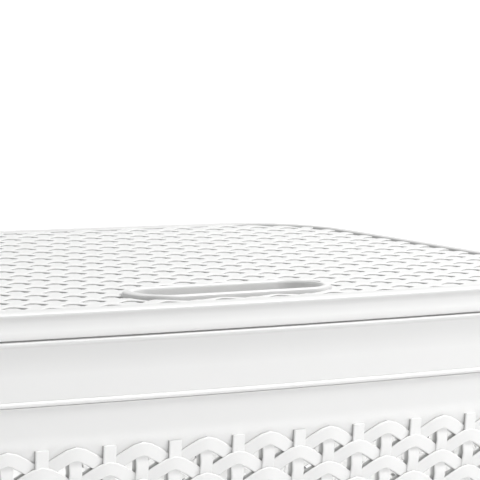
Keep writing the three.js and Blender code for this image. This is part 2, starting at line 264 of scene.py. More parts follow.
class MaterialSheet:
    def __init__(self, name):
        self.material = bpy.data.materials.new(name)
        self.material.use_nodes = True
        self.tree = self.material.node_tree
        self.tree.nodes.clear()
        self.output = self.tree.nodes.new("ShaderNodeOutputMaterial")

    def add(self, kind, settings, values):
        # settings are set first, then each socket takes a number, a colour or another node's signal
        node = self.tree.nodes.new(kind)
        for key, value in settings.items():
            setattr(node, key, value)
        for key, value in values.items():
            if isinstance(value, Signal):
                self.tree.links.new(value.socket, node.inputs[key])
            else:
                node.inputs[key].default_value = value
        return [Signal(self, socket) for socket in node.outputs]

    def finish(self, shader):
        self.tree.links.new(shader.socket, self.output.inputs["Surface"])
        return self.material


def addPaintedShade(piece, shares):
    # painted shade: how much of the light is kept off each point, from 0 to 1
    attribute = piece.data.attributes.new("paintedShade", "FLOAT", "POINT")
    attribute.data.foreach_set("value", shares.ravel().astype(np.float32))


def cloudedTone(sheet, look):
    # the plastic's cloudy tone and patchy gloss, with the place they are read at
    place = sheet.add("ShaderNodeTexCoord", {}, {})[3]
    cloud = sheet.add("ShaderNodeTexNoise", {}, {
        "Vector": place, "Scale": look["cloudScale"], "Detail": look["cloudDetail"]})[0]
    patch = sheet.add("ShaderNodeTexNoise", {}, {
        "Vector": place, "Scale": look["patchScale"], "Detail": look["fineDetail"]})[0]
    colour = sheet.add("ShaderNodeMix", {"data_type": "RGBA"},
                       {0: cloud, 6: look["shade"], 7: look["colour"]})[2]
    return place, colour, look["roughness"] + (patch - 0.5) * look["glossSpread"]


def plasticSurface(sheet, look, colour, roughness, height):
    bump = sheet.add("ShaderNodeBump", {},
                     {"Strength": look["grainStrength"], "Distance": look["grainDepth"], "Height": height})[0]
    shader = sheet.add("ShaderNodeBsdfPrincipled", {}, {
        "Base Color": colour, "Roughness": roughness, "Normal": bump, "IOR": look["ior"],
        "Specular IOR Level": look["gloss"]})[0]
    return sheet.finish(shader)


def mouldedPlastic(name, look):
    # satin white plastic, darkened towards a grey by its share of painted shade, with a fine spark-eroded grain
    sheet = MaterialSheet(name)
    place, colour, roughness = cloudedTone(sheet, look)
    grain = sheet.add("ShaderNodeTexNoise", {}, {
        "Vector": place, "Scale": look["grainScale"], "Detail": look["fineDetail"]})[0]
    # the share of painted shade at each point, mixed towards a grey
    paintedShade = sheet.add("ShaderNodeAttribute", {"attribute_name": "paintedShade"}, {})[2]
    colour = sheet.add("ShaderNodeMix", {"data_type": "RGBA"},
                       {0: paintedShade * look["paintedShadeShare"], 6: colour, 7: look["paintedShade"]})[2]
    return plasticSurface(sheet, look, colour, roughness, grain)


def strandPlastic(name, look):
    # the same plastic with a faint drawn grain that runs along each strand, with painted shade down its sides
    sheet = MaterialSheet(name)
    colour, roughness = cloudedTone(sheet, look)[1:]
    strand = sheet.add("ShaderNodeAttribute", {"attribute_name": "strandPlace"}, {})[1]
    stretched = sheet.add("ShaderNodeVectorMath", {"operation": "MULTIPLY"},
                          {0: strand, 1: look["streakStretch"]})[0]
    streak = sheet.add("ShaderNodeTexNoise", {}, {
        "Vector": stretched, "Scale": 1.0, "Detail": look["fineDetail"]})[0]
    # painted shade down each strand's sides, mixed towards a dark grey
    paintedSideShade = sheet.add("ShaderNodeSeparateXYZ", {}, {0: strand})[2]
    colour = sheet.add("ShaderNodeMix", {"data_type": "RGBA"},
                       {0: paintedSideShade * look["paintedCreviceShare"], 6: colour, 7: look["paintedCreviceShade"]})[2]
    return plasticSurface(sheet, look, colour, roughness, streak)


shellLook = {
    "colour": (0.86, 0.86, 0.855, 1), "shade": (0.83, 0.83, 0.825, 1),
    "cloudScale": 9.0, "patchScale": 60.0, "grainScale": 1400.0, "cloudDetail": 3.0, "fineDetail": 2.0,
    "roughness": 0.36, "glossSpread": 0.12, "gloss": 0.5, "ior": 1.49,
    "grainStrength": 0.25, "grainDepth": 0.00006,
    # grey of the painted shade, and how far a full share darkens towards it
    "paintedShade": (0.3, 0.3, 0.3, 1), "paintedShadeShare": 0.75,
}
# the strands' dark grey and its share are painted shade down their sides
strandLook = dict(shellLook, colour=(0.93, 0.93, 0.925, 1), shade=(0.9, 0.9, 0.895, 1), roughness=0.42,
                  streakStretch=(60, 1500, 1), grainDepth=0.00005,
                  paintedCreviceShade=(0.28, 0.28, 0.28, 1), paintedCreviceShare=0.9)
channelLook = dict(shellLook, colour=(0.82, 0.82, 0.815, 1), shade=(0.78, 0.78, 0.775, 1), roughness=0.46)
pinLook = dict(shellLook, colour=(0.75, 0.75, 0.74, 1), shade=(0.7, 0.7, 0.69, 1), roughness=0.3)

shellPlastic = mouldedPlastic("satinShell", shellLook)
wovenPlastic = strandPlastic("wovenStrands", strandLook)
channelPlastic = mouldedPlastic("cornerStrip", channelLook)
pinPlastic = mouldedPlastic("hingePin", pinLook)


def finishPiece(piece, material, body):
    piece.data.materials.append(material)
    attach(piece, body)
    return piece


print("materials ready")

# camera, floor, backdrop and lights
camera = {"lens": 212.6, "yaw": 32.99, "pitch": 5.92, "roll": -1.283,
          "fromLid": (-710.3 * mm, -1223.7 * mm, 159.3 * mm)}


def makeCamera():
    yaw, pitch, roll = (math.radians(camera[n]) for n in ("yaw", "pitch", "roll"))
    ahead = Vector((math.sin(yaw) * math.cos(pitch), math.cos(yaw) * math.cos(pitch), -math.sin(pitch)))
    level = Vector((math.cos(yaw), -math.sin(yaw), 0))
    down = ahead.cross(level)
    right = math.cos(roll) * level + math.sin(roll) * down
    up = math.sin(roll) * level - math.cos(roll) * down
    data = bpy.data.cameras.new("viewCamera")
    data.lens, data.sensor_width = camera["lens"], 36
    data.clip_start, data.clip_end = 0.05, 60
    viewer = bpy.data.objects.new("viewCamera", data)
    turn = Matrix((right, up, -ahead)).transposed().to_4x4()
    lidCentre = Vector((0, centreY, lidTop))
    viewer.matrix_world = Matrix.Translation(lidCentre + Vector(camera["fromLid"])) @ turn
    bpy.context.scene.collection.objects.link(viewer)
    bpy.context.scene.camera = viewer


studio = {
    "flatRadius": 5.0, "bendRadius": 0.9, "wallHeight": 1.5, "facets": 64,
    "paper": (0.8, 0.8, 0.8, 1), "glowStart": 1.3, "glowEnd": 3.2, "glow": 0.8,
    "sky": (1.0, 1.0, 1.0, 1), "skyStrength": 0.41,
    "key": {"place": (1.2, -0.75, 2.5), "size": 0.7, "power": 49},
    "insideLamp": {"place": (0, 0, 0.3), "size": 0.12, "power": 1.2},
}


def studioPaper():
    # a round dish of paper: flat floor, a quarter-round bend and a low wall, turned about Z. Far from
    # the hamper it glows, so that the horizon is as white as the floor
    flat, bend = studio["flatRadius"], studio["bendRadius"]
    turn = np.linspace(0, quarterTurn, 13)
    radius = np.concatenate([[0.02, 0.5, 1, 2, 3.5], flat + bend * np.sin(turn), [flat + bend]])
    height = np.concatenate([np.zeros(5), bend * (1 - np.cos(turn)), [studio["wallHeight"]]])
    around = np.linspace(0, 2 * math.pi, studio["facets"] + 1)[:, None]
    points = np.stack([radius * np.cos(around), radius * np.sin(around),
                       np.broadcast_to(height, (len(around), len(radius)))], -1)
    i, j = np.meshgrid(np.arange(studio["facets"]), np.arange(len(radius) - 1), indexing="ij")
    count = len(radius)
    corners = [i * count + j, i * count + j + 1, (i + 1) * count + j + 1, (i + 1) * count + j]
    paper = makePiece("studioPaper", [(points, [np.stack([c.ravel() for c in corners], -1)])], 60)
    sheet = MaterialSheet("studioPaper")
    place = sheet.add("ShaderNodeTexCoord", {}, {})[3]
    distance = sheet.add("ShaderNodeVectorMath", {"operation": "LENGTH"}, {0: place})[1]
    glow = sheet.add("ShaderNodeMapRange", {"interpolation_type": "SMOOTHSTEP"}, {
        "Value": distance, "From Min": studio["glowStart"], "From Max": studio["glowEnd"],
        "To Min": 0.0, "To Max": studio["glow"]})[0]
    glowColour = sheet.add("ShaderNodeMix", {"data_type": "RGBA"},
                           {0: glow, 6: (0, 0, 0, 1), 7: (1, 1, 1, 1)})[2]
    shader = sheet.add("ShaderNodeBsdfPrincipled", {}, {
        "Base Color": studio["paper"], "Roughness": 0.9, "Specular IOR Level": 0.1,
        "Emission Color": glowColour, "Emission Strength": 1.0})[0]
    paper.data.materials.append(sheet.finish(shader))


def makeStudio():
    studioPaper()
    key = bpy.data.lights.new("keySoftbox", "AREA")
    key.energy, key.size = studio["key"]["power"], studio["key"]["size"]
    lamp = bpy.data.objects.new("keySoftbox", key)
    lamp.location = studio["key"]["place"]
    lamp.rotation_euler = (Vector((0, 0, 0.5)) - lamp.location).to_track_quat("-Z", "Y").to_euler()
    bpy.context.scene.collection.objects.link(lamp)
    inside = bpy.data.lights.new("insideLamp", "POINT")  # stands for light that the thin walls let through
    inside.energy, inside.shadow_soft_size = studio["insideLamp"]["power"], studio["insideLamp"]["size"]
    glow = bpy.data.objects.new("insideLamp", inside)
    glow.location = studio["insideLamp"]["place"]
    glow.visible_camera = False
    bpy.context.scene.collection.objects.link(glow)
    world = bpy.data.worlds.new("studioAir")
    world.use_nodes = True
    world.node_tree.nodes["Background"].inputs["Color"].default_value = studio["sky"]
    world.node_tree.nodes["Background"].inputs["Strength"].default_value = studio["skyStrength"]
    bpy.context.scene.world = world
    bpy.context.scene.view_settings.view_transform = "Standard"


makeCamera()
makeStudio()
print("camera and studio ready")

# lid
lid = {
    "fieldGround": 2.4 * mm,      # the woven field's ground below the border's crest
    "plate": 2 * mm, "skirtWall": 2 * mm,
    "locatorInset": 7 * mm, "locatorWall": 1.6 * mm, "locatorDrop": 3.5 * mm,
    "slotLength": 100 * mm, "slotWidth": 28 * mm, "slotY": -120.6 * mm,
    "rimRise": 1.15 * mm, "tubeDrop": 9 * mm, "tubeWall": 2.2 * mm,
    "padLength": 2.0 * mm,        # the plain pad past either end of the slot
    "padStart": 0.972, "padBlend": 0.025,  # share of straight-ahead from which the pad grows, and how fast
    "padFrom": 2.2 * mm, "padRun": 0.8 * mm,  # where on the rim it starts, and the width it grows over
}


def slotPoint(direction, grow):
    # where a ray from the slot's middle meets its long round-ended outline, grown outwards
    reach = (lid["slotLength"] - lid["slotWidth"]) / 2
    radius = lid["slotWidth"] / 2 + grow
    c, s = np.cos(direction), np.sin(direction)
    flatRun = radius / np.maximum(np.abs(s), 1e-9)
    endRun = reach * np.abs(c) + np.sqrt(np.maximum(radius ** 2 - (reach * s) ** 2, 0))
    run = np.where(flatRun * np.abs(c) <= reach, flatRun, endRun)
    return np.stack([run * c, centreY + lid["slotY"] + run * s], -1)


def makeLidShell():
    # one closed skin: border, edge, skirt, underside with its locating rib, slot tube and raised rim
    angles = planAngles(60, 60, 40)
    ground = lidTop - lid["fieldGround"]
    under = ground - lid["plate"]
    foot = lidTop - hamper["skirt"]
    rib = lid["locatorInset"]
    # (inset, height) from the field's edge outwards over the border and down to the underside
    crown = [(11 * mm, ground), (9.6 * mm, ground), (9.2 * mm, lidTop - 1.1 * mm),
             (8.3 * mm, lidTop - 0.25 * mm), (6.8 * mm, lidTop), (4.8 * mm, lidTop - 0.02 * mm),
             (3.0 * mm, lidTop - 0.2 * mm), (1.3 * mm, lidTop - 0.75 * mm), (0.55 * mm, lidTop - 1.7 * mm),
             (0.75 * mm, lidTop - 3.2 * mm), (0.85 * mm, lidTop - 4.6 * mm), (0.6 * mm, lidTop - 7 * mm),
             (0.3 * mm, lidTop - 9.4 * mm), (0.3 * mm, foot + 1 * mm), (0.6 * mm, foot),
             (lid["skirtWall"], foot),
             (lid["skirtWall"] + 0.5 * mm, lidTop - 2 * mm), (rib - 1 * mm, lidTop - 2 * mm), (rib, under),
             (rib, foot - lid["locatorDrop"]), (rib + lid["locatorWall"], foot - lid["locatorDrop"]),
             (rib + lid["locatorWall"], under), (14 * mm, under)]
    crown = softLine(crown, 0.6 * mm, 3)
    outer = planPoint(angles[:, None], np.broadcast_to(crown[None, :, 0], (len(angles), len(crown))))
    outerHeights = np.broadcast_to(crown[None, :, 1:], outer.shape[:2] + (1,))
    outer = np.concatenate([outer, outerHeights], -1)
    # (growth, height) from the underside into the tube, up through the slot and over the rim
    wall, rise = lid["tubeWall"], lid["rimRise"]
    rim = [(6 * mm, under), (wall + 0.4 * mm, under), (wall, lidTop - lid["tubeDrop"]),
           (0.2 * mm, lidTop - lid["tubeDrop"]), (0, lidTop - lid["tubeDrop"] + 1 * mm),
           (0, lidTop + rise - 1.1 * mm), (0.4 * mm, lidTop + rise - 0.2 * mm), (1.3 * mm, lidTop + rise),
           (2.2 * mm, lidTop + rise - 0.05 * mm), (3.0 * mm, lidTop + rise - 0.6 * mm),
           (3.3 * mm, lidTop - 0.7 * mm), (3.6 * mm, ground), (6.0 * mm, ground)]
    rim = softLine(rim, 0.5 * mm, 3)
    middle = np.array([0, centreY + lid["slotY"]])
    direction = np.arctan2(*(outer[:, 0, :2] - middle).T[::-1])
    pad = lid["padLength"] * smoothStep((np.abs(np.cos(direction)) - lid["padStart"]) / lid["padBlend"])
    outside = np.arange(len(rim)) > len(rim) / 2
    beyond = np.maximum(rim[None, :, 0] - lid["padFrom"], 0) * outside
    grow = rim[None, :, 0] + pad[:, None] * np.minimum(beyond / lid["padRun"], 1)
    inner = slotPoint(direction[:, None], grow)
    innerHeights = np.broadcast_to(rim[None, :, 1:], inner.shape[:2] + (1,))
    inner = np.concatenate([inner, innerHeights], -1)
    shell = makePiece("lidShell", [loopSurface(np.concatenate([outer, inner], 1))])
    # painted shade: little light reaches the walls round the field, the upper skirt and the slot's inside, so
    # they take a darker colour
    down = lidTop - crown[:, 1]
    skirtShare = np.interp(down, [0.5 * mm, 1.5 * mm, 3 * mm, 9 * mm], [0, 0.36, 0.36, 0])
    wallShare = np.interp(down, [0.15 * mm, 0.9 * mm], [0, 1])
    inField = np.arange(len(crown)) < np.argmax(crown[:, 0] < 5 * mm)
    crownShare = np.where(inField, wallShare, np.where(crown[:, 0] < 1.8 * mm, skirtShare, 0))
    tubeShare = np.interp(lidTop + rise - rim[:, 1], [0.9 * mm, 2 * mm], [0, 0.5])
    rimShare = np.where(outside, np.interp(rim[:, 0], [2.6 * mm, 3.3 * mm], [0, 0.85]), tubeShare)
    shares = np.concatenate([crownShare, rimShare])
    addPaintedShade(shell, np.broadcast_to(shares, (len(angles), len(shares))))
    finishPiece(shell, shellPlastic, "lid")
    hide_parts("lid")


makeLidShell()
print("lid shell ready")

# woven strands, shared by the lid and the walls
weave = {
    "halfRow": 8.85 * mm,         # height from one row of arches to the next
    "archRadius": 3.6 * mm,       # how round each arch's crown is
    "bandWidth": 6.25 * mm, "uprightWidth": 6.4 * mm,
    "thickness": 3.9 * mm, "edge": 0.4 * mm, "backPaintedShade": 0.0,
    "armDrop": 2.6 * mm,          # an arm's end behind its crown, where the next column's arch covers it
    "armRound": 0.25, "armSlope": 0.62,
    "uprightFront": 0.25 * mm, "uprightDip": 1.25 * mm,
    "standTop": 2.25 * mm, "standFoot": 1.2 * mm,  # crowns in front of the wall's own outside
}
archStations = np.array([-1.1, -0.75, -0.45, -0.2, 0, 0.2, 0.45, 0.75, 1.1])


def bandSection(bandWidth, sizes):
    # a flat strand's section as (across, depth, share of painted shade), with soft front edges
    half, edge, thickness = bandWidth / 2, sizes["edge"], sizes["thickness"]
    side = np.array([(half - edge, 0, 0), (half, -0.8 * edge, 0.25), (half, -edge - 0.5 * mm, 1),
                     (half, -thickness, sizes["backPaintedShade"])])
    return np.concatenate([side[::-1] * [-1, 1, 1], side])


def archStrands(pitch, slope, sizes, stations):
    # one arch: height falls by slope times (root of x squared plus crown squared, less the crown);
    # its section stands square to that line and sinks the same way, by armDrop a pitch.
    # returns (x, height, depth) for each station and section point, and its place on the strand
    x = stations * pitch
    crown = sizes["archRadius"]
    root = np.sqrt(x ** 2 + crown ** 2)
    height = -slope * (root - crown)
    tilt = -slope * x / root
    length = np.sqrt(1 + tilt ** 2)
    section = bandSection(sizes["bandWidth"], sizes)
    depth = -sizes["armDrop"] * (np.sqrt(stations ** 2 + sizes["armRound"] ** 2) - sizes["armRound"])
    across = section[None, :, 0]
    alongX = x[:, None] - tilt[:, None] / length[:, None] * across
    alongHeight = height[:, None] + across / length[:, None]
    depths = np.broadcast_to(depth[:, None] + section[None, :, 1], alongX.shape)
    run = np.broadcast_to(x[:, None], alongX.shape)
    place = np.stack([run, np.broadcast_to(across, alongX.shape),
                      np.broadcast_to(section[None, :, 2], alongX.shape)], -1)
    return np.stack([alongX, alongHeight, depths], -1), place


def uprightStrands(length, sizes, steps=5):
    # one upright from a crossing down to the next: its front swells midway by uprightDip
    t = np.linspace(0, 1, steps)
    section = bandSection(sizes["uprightWidth"], sizes)
    front = -sizes["uprightFront"] - sizes["uprightDip"] * np.cos(math.pi * t) ** 2
    x = np.broadcast_to(section[None, :, 0], (steps, len(section)))
    height = np.broadcast_to(-t[:, None] * length, x.shape)
    depth = front[:, None] + section[None, :, 1]
    place = np.stack([height, x, np.broadcast_to(section[None, :, 2], x.shape)], -1)
    return np.stack([x, height, depth], -1), place


def addStrandPlace(piece, places):
    # where each point lies on its own strand: along it, across it, and how far down its side, as its share of
    # painted shade
    flat = np.concatenate([p.reshape(-1, 3) for p in places]).astype(np.float32)
    attribute = piece.data.attributes.new("strandPlace", "FLOAT_VECTOR", "POINT")
    attribute.data.foreach_set("vector", flat.ravel())


# the lid's woven field
lidWeave = {
    "pitch": 15.045 * mm, "halfRow": 8.785 * mm,
    "firstRow": -18, "lastRow": 18, "columns": 15, "rowOffset": 0.183,  # rows from the lid's middle
    "top": 0.85 * mm,             # crowns below the border's crest
    "wallInset": 7.6 * mm,        # strands run on into the border's and the rim's walls, and end there
    "rimWall": 1.9 * mm,
    "stay": 0.5 * mm,             # a strand is laid if some of it moves less than this
}
lidStrand = dict(weave, bandWidth=6.6 * mm, uprightWidth=6.5 * mm, thickness=1.8 * mm, edge=0.3 * mm,
                 backPaintedShade=1.0, armDrop=1.5 * mm, uprightFront=0.85 * mm, uprightDip=0.15 * mm)


def fieldCrossings():
    # every crossing of the lid's weave, as (x, y) of its arch's middle
    rows = np.arange(lidWeave["firstRow"], lidWeave["lastRow"] + 1)
    columns = np.arange(-lidWeave["columns"], lidWeave["columns"] + 1)
    r, c = (v.ravel() for v in np.meshgrid(rows, columns, indexing="ij"))
    matching = (r + c) % 2 == 1
    x = c[matching] * lidWeave["pitch"]
    y = (r[matching] + lidWeave["rowOffset"]) * lidWeave["halfRow"] + lidStrand["bandWidth"] / 2
    return x, y


def keepInField(x, y, inset):
    # moves points that lie past the border's wall straight back to it; returns how far as well
    outX, outY = np.abs(x), np.abs(y)
    turn = np.arctan2(outX - cornerX, outY - cornerY)
    inCorner = (turn > frontEnd) & (turn < sideStart)
    fromFront = np.hypot(outX, outY + frontCentre)
    fromSide = np.hypot(outX - sideCentre, outY)
    fromCorner = np.maximum(np.hypot(outX - cornerX, outY - cornerY), 1e-9)
    frontPush = np.maximum(fromFront - hamper["frontBow"] + inset, 0)
    sidePush = np.maximum(fromSide - hamper["sideBow"] + inset, 0)
    cornerPush = np.maximum(fromCorner - hamper["cornerRadius"] + inset, 0)
    shiftX = np.where(inCorner, cornerPush * (outX - cornerX) / fromCorner,
                      frontPush * outX / fromFront + sidePush * (outX - sideCentre) / fromSide)
    shiftY = np.where(inCorner, cornerPush * (outY - cornerY) / fromCorner,
                      frontPush * (outY + frontCentre) / fromFront + sidePush * outY / fromSide)
    return np.sign(x) * (outX - shiftX), np.sign(y) * (outY - shiftY), np.hypot(shiftX, shiftY)


def pushOut(x, y, side, reach, radius):
    # moves points that lie over a round-ended opening out to its edge, a whole strand to one side.
    # x and y are from the opening's middle; returns how far each point moved as well
    pastX = np.sign(x) * np.maximum(np.abs(x) - reach, 0)
    inside = np.hypot(pastX, y) < radius
    sideY = side * np.maximum(side * y, 1e-6)
    scale = np.where(inside, radius / np.maximum(np.hypot(pastX, sideY), 1e-6), 1.0)
    newX = np.where(inside, x - pastX + pastX * scale, x)
    newY = np.where(inside, sideY * scale, y)
    return newX, newY, np.hypot(newX - x, newY - y)


def fieldCopies(strand, place, x, y):
    # lays copies of a strand at the crossings, ends them in the walls and drops the ones left over
    points = np.broadcast_to(strand, (len(x),) + strand.shape).copy()
    px, py = points[..., 0] + x[:, None, None], points[..., 1] + y[:, None, None]
    fromSlot = py - lid["slotY"]
    side = np.where(fromSlot.mean((1, 2)) > 0, 1.0, -1.0)[:, None, None]
    px, fromSlot, overSlot = pushOut(px, fromSlot, side, (lid["slotLength"] - lid["slotWidth"]) / 2,
                                     lid["slotWidth"] / 2 + lidWeave["rimWall"])
    px, py, pastEdge = keepInField(px, fromSlot + lid["slotY"], lidWeave["wallInset"])
    keep = (overSlot.min((1, 2)) < lidWeave["stay"]) & (pastEdge.min((1, 2)) < lidWeave["stay"])
    points[..., 0], points[..., 1] = px, py + centreY
    points[..., 2] += lidTop - lidWeave["top"]
    return points[keep], np.broadcast_to(place, points[keep].shape)


def makeLidWeave():
    x, y = fieldCrossings()
    slope = lidWeave["halfRow"] / lidWeave["pitch"]
    parts, places = [], []
    strands = [archStrands(lidWeave["pitch"], slope, lidStrand, archStations),
               uprightStrands(2 * lidWeave["halfRow"], lidStrand, 4)]
    for strand, place in strands:
        points, spots = fieldCopies(strand, place, x, y)
        parts.append(sweptSurface(points))
        places.append(spots)
    print("lid weave:", len(parts[0][0]), "points in the arches")
    field = makePiece("lidWeave", parts)
    addStrandPlace(field, places)
    finishPiece(field, wovenPlastic, "lid")


makeLidWeave()

# collar
collar = {
    "inset": 1.3 * mm, "wall": 2.6 * mm, "bead": 2.2 * mm, "beadRise": 0.95 * mm,
    "groove": 0.18 * mm, "lipRise": 0.8 * mm, "shadow": 0.3,
}


def makeCollar():
    # closed profile: bead at the foot, fine groove, plain band, hollow under the lip, lip, inside
    face, top, foot = collar["inset"], collarTop, collarFoot
    bead = foot + collar["bead"]
    profile = [(face - 0.45 * mm, foot), (face - collar["beadRise"], foot + 0.5 * mm),
               (face - collar["beadRise"], bead - 0.5 * mm), (face - 0.35 * mm, bead - 0.05 * mm),
               (face + collar["groove"], bead + 0.05 * mm), (face + collar["groove"], bead + 0.3 * mm),
               (face, bead + 0.45 * mm), (face, top - 15 * mm), (face - 0.12 * mm, top - 10 * mm),
               (face - 0.3 * mm, top - 6 * mm), (face - 0.4 * mm, top - 3.4 * mm),
               (face - 0.35 * mm, top - 2.6 * mm), (face - 0.55 * mm, top - 1.9 * mm),
               (face - collar["lipRise"], top - 1.1 * mm), (face - 0.4 * mm, top - 0.3 * mm),
               (face + 0.6 * mm, top), (face + collar["wall"], top), (face + collar["wall"], foot)]
    ring = planRing(softLine(profile, 0.45 * mm, 3, closed=True), (24, 32, 16))
    piece = makePiece("collarRing", [ring])
    # painted shadow under the lip, fading out down the plain band
    points = np.empty(3 * len(piece.data.vertices), np.float32)
    piece.data.vertices.foreach_get("co", points)
    below = top - points[2::3]
    addPaintedShade(piece, np.interp(below, [1.9 * mm, 2.6 * mm, 16 * mm], [0, collar["shadow"], 0]))
    finishPiece(piece, shellPlastic, "basket")
    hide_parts("top_collar")


makeCollar()
print("collar ready")

# hinges
hinge = {
    "x": 115 * mm, "behind": 4.5 * mm, "radius": 4.5 * mm, "bore": 2.3 * mm, "lidLength": 20 * mm,
    "lugLength": 9 * mm, "gap": 0.4 * mm, "openAngle": math.radians(105), "below": math.radians(7),
    "nibThickness": 2.4 * mm, "nibWidth": 12 * mm, "nibStart": 2.6 * mm, "facets": 40,
}
hingeY = centreY + hamper["depth"] / 2 + hinge["behind"]
hingeZ = lidTop - hamper["skirt"] - hamper["lidSeam"] / 2


def rearY(x):
    # the bowed rear edge at x: root of the bow's radius squared less x squared, from its centre
    return centreY + math.sqrt(hamper["frontBow"] ** 2 - x ** 2) - frontCentre


def barrel(start, end):
    # a round tube along X: a soft-edged rectangle of (radius, x) turned about the hinge line
    section = softLine([(hinge["radius"], start), (hinge["radius"], end), (hinge["bore"], end),
                        (hinge["bore"], start)], 0.5 * mm, 3, closed=True)
    turn = np.linspace(0, 2 * math.pi, hinge["facets"], endpoint=False)[:, None]
    radius = section[None, :, 0]
    points = np.stack([np.broadcast_to(section[None, :, 1], (hinge["facets"], len(section))),
                       hingeY + radius * np.cos(turn), hingeZ + radius * np.sin(turn)], -1)
    return loopSurface(points)


def slab(outline, start, end):
    # a soft-edged outline of (y, z) carried along X from start to end
    line = softLine(outline, 0.5 * mm, 3, closed=True)
    middle = line.mean(0)
    edge = 0.4 * mm
    runs = [(start, edge), (start + edge, 0), (end - edge, 0), (end, edge)]
    rings = []
    for x, shrink in runs:
        reach = np.linalg.norm(line - middle, axis=1, keepdims=True)
        ring = middle + (line - middle) * (1 - shrink / reach)
        rings.append(np.column_stack([np.full(len(ring), x), ring]))
    return sweptSurface(np.array(rings)[None])


def lidKnuckle(x):
    # a barrel, the web that ties it to the lid, and the nib that meets the collar when the lid is open
    half = hinge["lidLength"] / 2
    rear = rearY(abs(x) + half) - lid["skirtWall"] * 0.6
    web = [(rear, hingeZ + 0.9 * mm), (rear, hingeZ + 6.5 * mm), (rear + 4.5 * mm, hingeZ + 5.2 * mm),
           (hingeY + 0.5 * mm, hingeZ + 4.35 * mm), (hingeY + 0.5 * mm, hingeZ + 2.6 * mm),
           (hingeY - 4.2 * mm, hingeZ + 0.9 * mm)]
    lip = rearY(abs(x) - hinge["nibWidth"] / 2) - collar["inset"] + collar["lipRise"]
    halfNib = hinge["nibThickness"] / 2
    reach = (hingeY - lip - 0.35 * mm - halfNib * math.sin(hinge["below"])) / math.cos(hinge["below"])
    turn = math.pi + hinge["below"] + hinge["openAngle"]
    along = np.array([math.cos(turn), math.sin(turn)])
    side = np.array([-along[1], along[0]])
    axle = np.array([hingeY, hingeZ])
    nib = [axle + along * run + side * halfNib * way
           for run, way in ((hinge["nibStart"], 1), (hinge["nibStart"], -1), (reach, -1), (reach, 1))]
    return [barrel(x - half, x + half), slab(web, x - half + 0.3 * mm, x + half - 0.3 * mm),
            slab(nib, x - hinge["nibWidth"] / 2, x + hinge["nibWidth"] / 2)]


def collarLug(start, end):
    # a barrel between two places along the hinge line, and the web that ties it to the collar
    rear = rearY(max(abs(start), abs(end))) - collar["inset"] - collar["wall"] * 0.6
    web = [(rear, hingeZ - 9 * mm), (rear + 4 * mm, hingeZ - 8.2 * mm), (hingeY + 0.5 * mm, hingeZ - 4.35 * mm),
           (hingeY + 0.5 * mm, hingeZ - 2.6 * mm), (hingeY - 4.2 * mm, hingeZ - 0.9 * mm),
           (rear, hingeZ - 0.9 * mm)]
    return [barrel(start, end), slab(web, start + 0.3 * mm, end - 0.3 * mm)]


def makeHinges():
    knuckles, lugs = [], []
    for side in (-1, 1):
        knuckles += lidKnuckle(side * hinge["x"])
        for end in (-1, 1):
            first = side * hinge["x"] + end * (hinge["lidLength"] / 2 + hinge["gap"])
            last = first + end * hinge["lugLength"]
            lugs += collarLug(min(first, last), max(first, last))
    finishPiece(makePiece("lidKnuckles", knuckles), shellPlastic, "lid")
    finishPiece(makePiece("collarLugs", lugs), shellPlastic, "basket")


makeHinges()
print("hinges ready")

# walls
wall = {
    "columns": 84, "seamColumn": 13, "quarter": 21,
    "topRow": 62.95 * mm,         # crowns of the first row of arches below the lid's border
    "topDrop": 1.15 * mm,         # the first row alone sits this much lower, under the plain band
    "stubTop": 61.5 * mm,         # short uprights start this far below the lid's border
    "stubExtra": 1.5 * mm,        # they reach this far behind the first arches
    "clearance": 0.1 * mm,        # every strand stays this far inside the lid's outline
    "rows": 52, "bandSteps": 17, "bandCrowding": 1.3,  # points of a band draw together at the weave
    "shoulder": 0.3 * mm,         # gap below the collar
    "recess": 0.4 * mm,           # plain bands sink by this much behind the strands
    "swell": 0.5 * mm, "swellStart": 56.5 * mm, "sinkStart": 63 * mm, "plate": 2.0 * mm,
    "swellRun": 3.8 * mm, "sinkRun": 7.5 * mm, "footRun": 9 * mm,
    "tongueInset": 4.3 * mm, "tongueWall": 2.0 * mm, "tongueRise": 19.5 * mm,
    "baseTop": 34.3 * mm, "baseTongue": 7.0 * mm, "tongueStep": 1.1 * mm,
    "samples": 8, "seamGap": 0.15 * mm,
    "flange": 1.8 * mm, "flangeDepth": 12 * mm, "flangeBottom": 44 * mm, "flangeTop": 530 * mm,
    "flangeStart": 3.2 * mm,      # the flange starts inside the wall, this far behind its outside
}
firstCrown = lidTop - wall["topRow"]


def panelInset(z):
    # the wall's outside leans inwards, by the draft for each step below the collar's foot
    return hamper["panelInset"] + (collarFoot - z) * hamper["draft"]


def columnAngle(column, inset):
    # columns are evenly spread from the middle of the front to the seam, and from there to the
    # middle of the side; the other three quarters mirror the first
    quarter, seam = wall["quarter"], wall["seamColumn"]
    column, inset = np.broadcast_arrays(np.mod(column, wall["columns"]), inset)
    turn = np.minimum(np.floor(column / quarter), 3)
    within = column - turn * quarter
    within = np.where(turn % 2 == 1, quarter - within, within)
    seamLength = arcLength(np.full(1, hamper["seamAngle"]), inset)
    sideLength = arcLength(np.full(1, quarterTurn), inset) - seamLength
    length = np.where(within <= seam, within / seam * seamLength,
                      seamLength + (within - seam) / (quarter - seam) * sideLength)
    angle = arcAngle(length, inset)
    return np.select([turn == 0, turn == 1, turn == 2], [angle, math.pi - angle, math.pi + angle],
                     2 * math.pi - angle)


def wallPoint(column, z, depth):
    # a place on the wall: column round it, height, and depth in front of the panel's outside
    inset = panelInset(z)
    angle = columnAngle(column, inset)
    spot = planPoint(angle, inset - depth)
    return np.concatenate([spot, np.broadcast_to(z, spot.shape[:-1])[..., None]], -1)


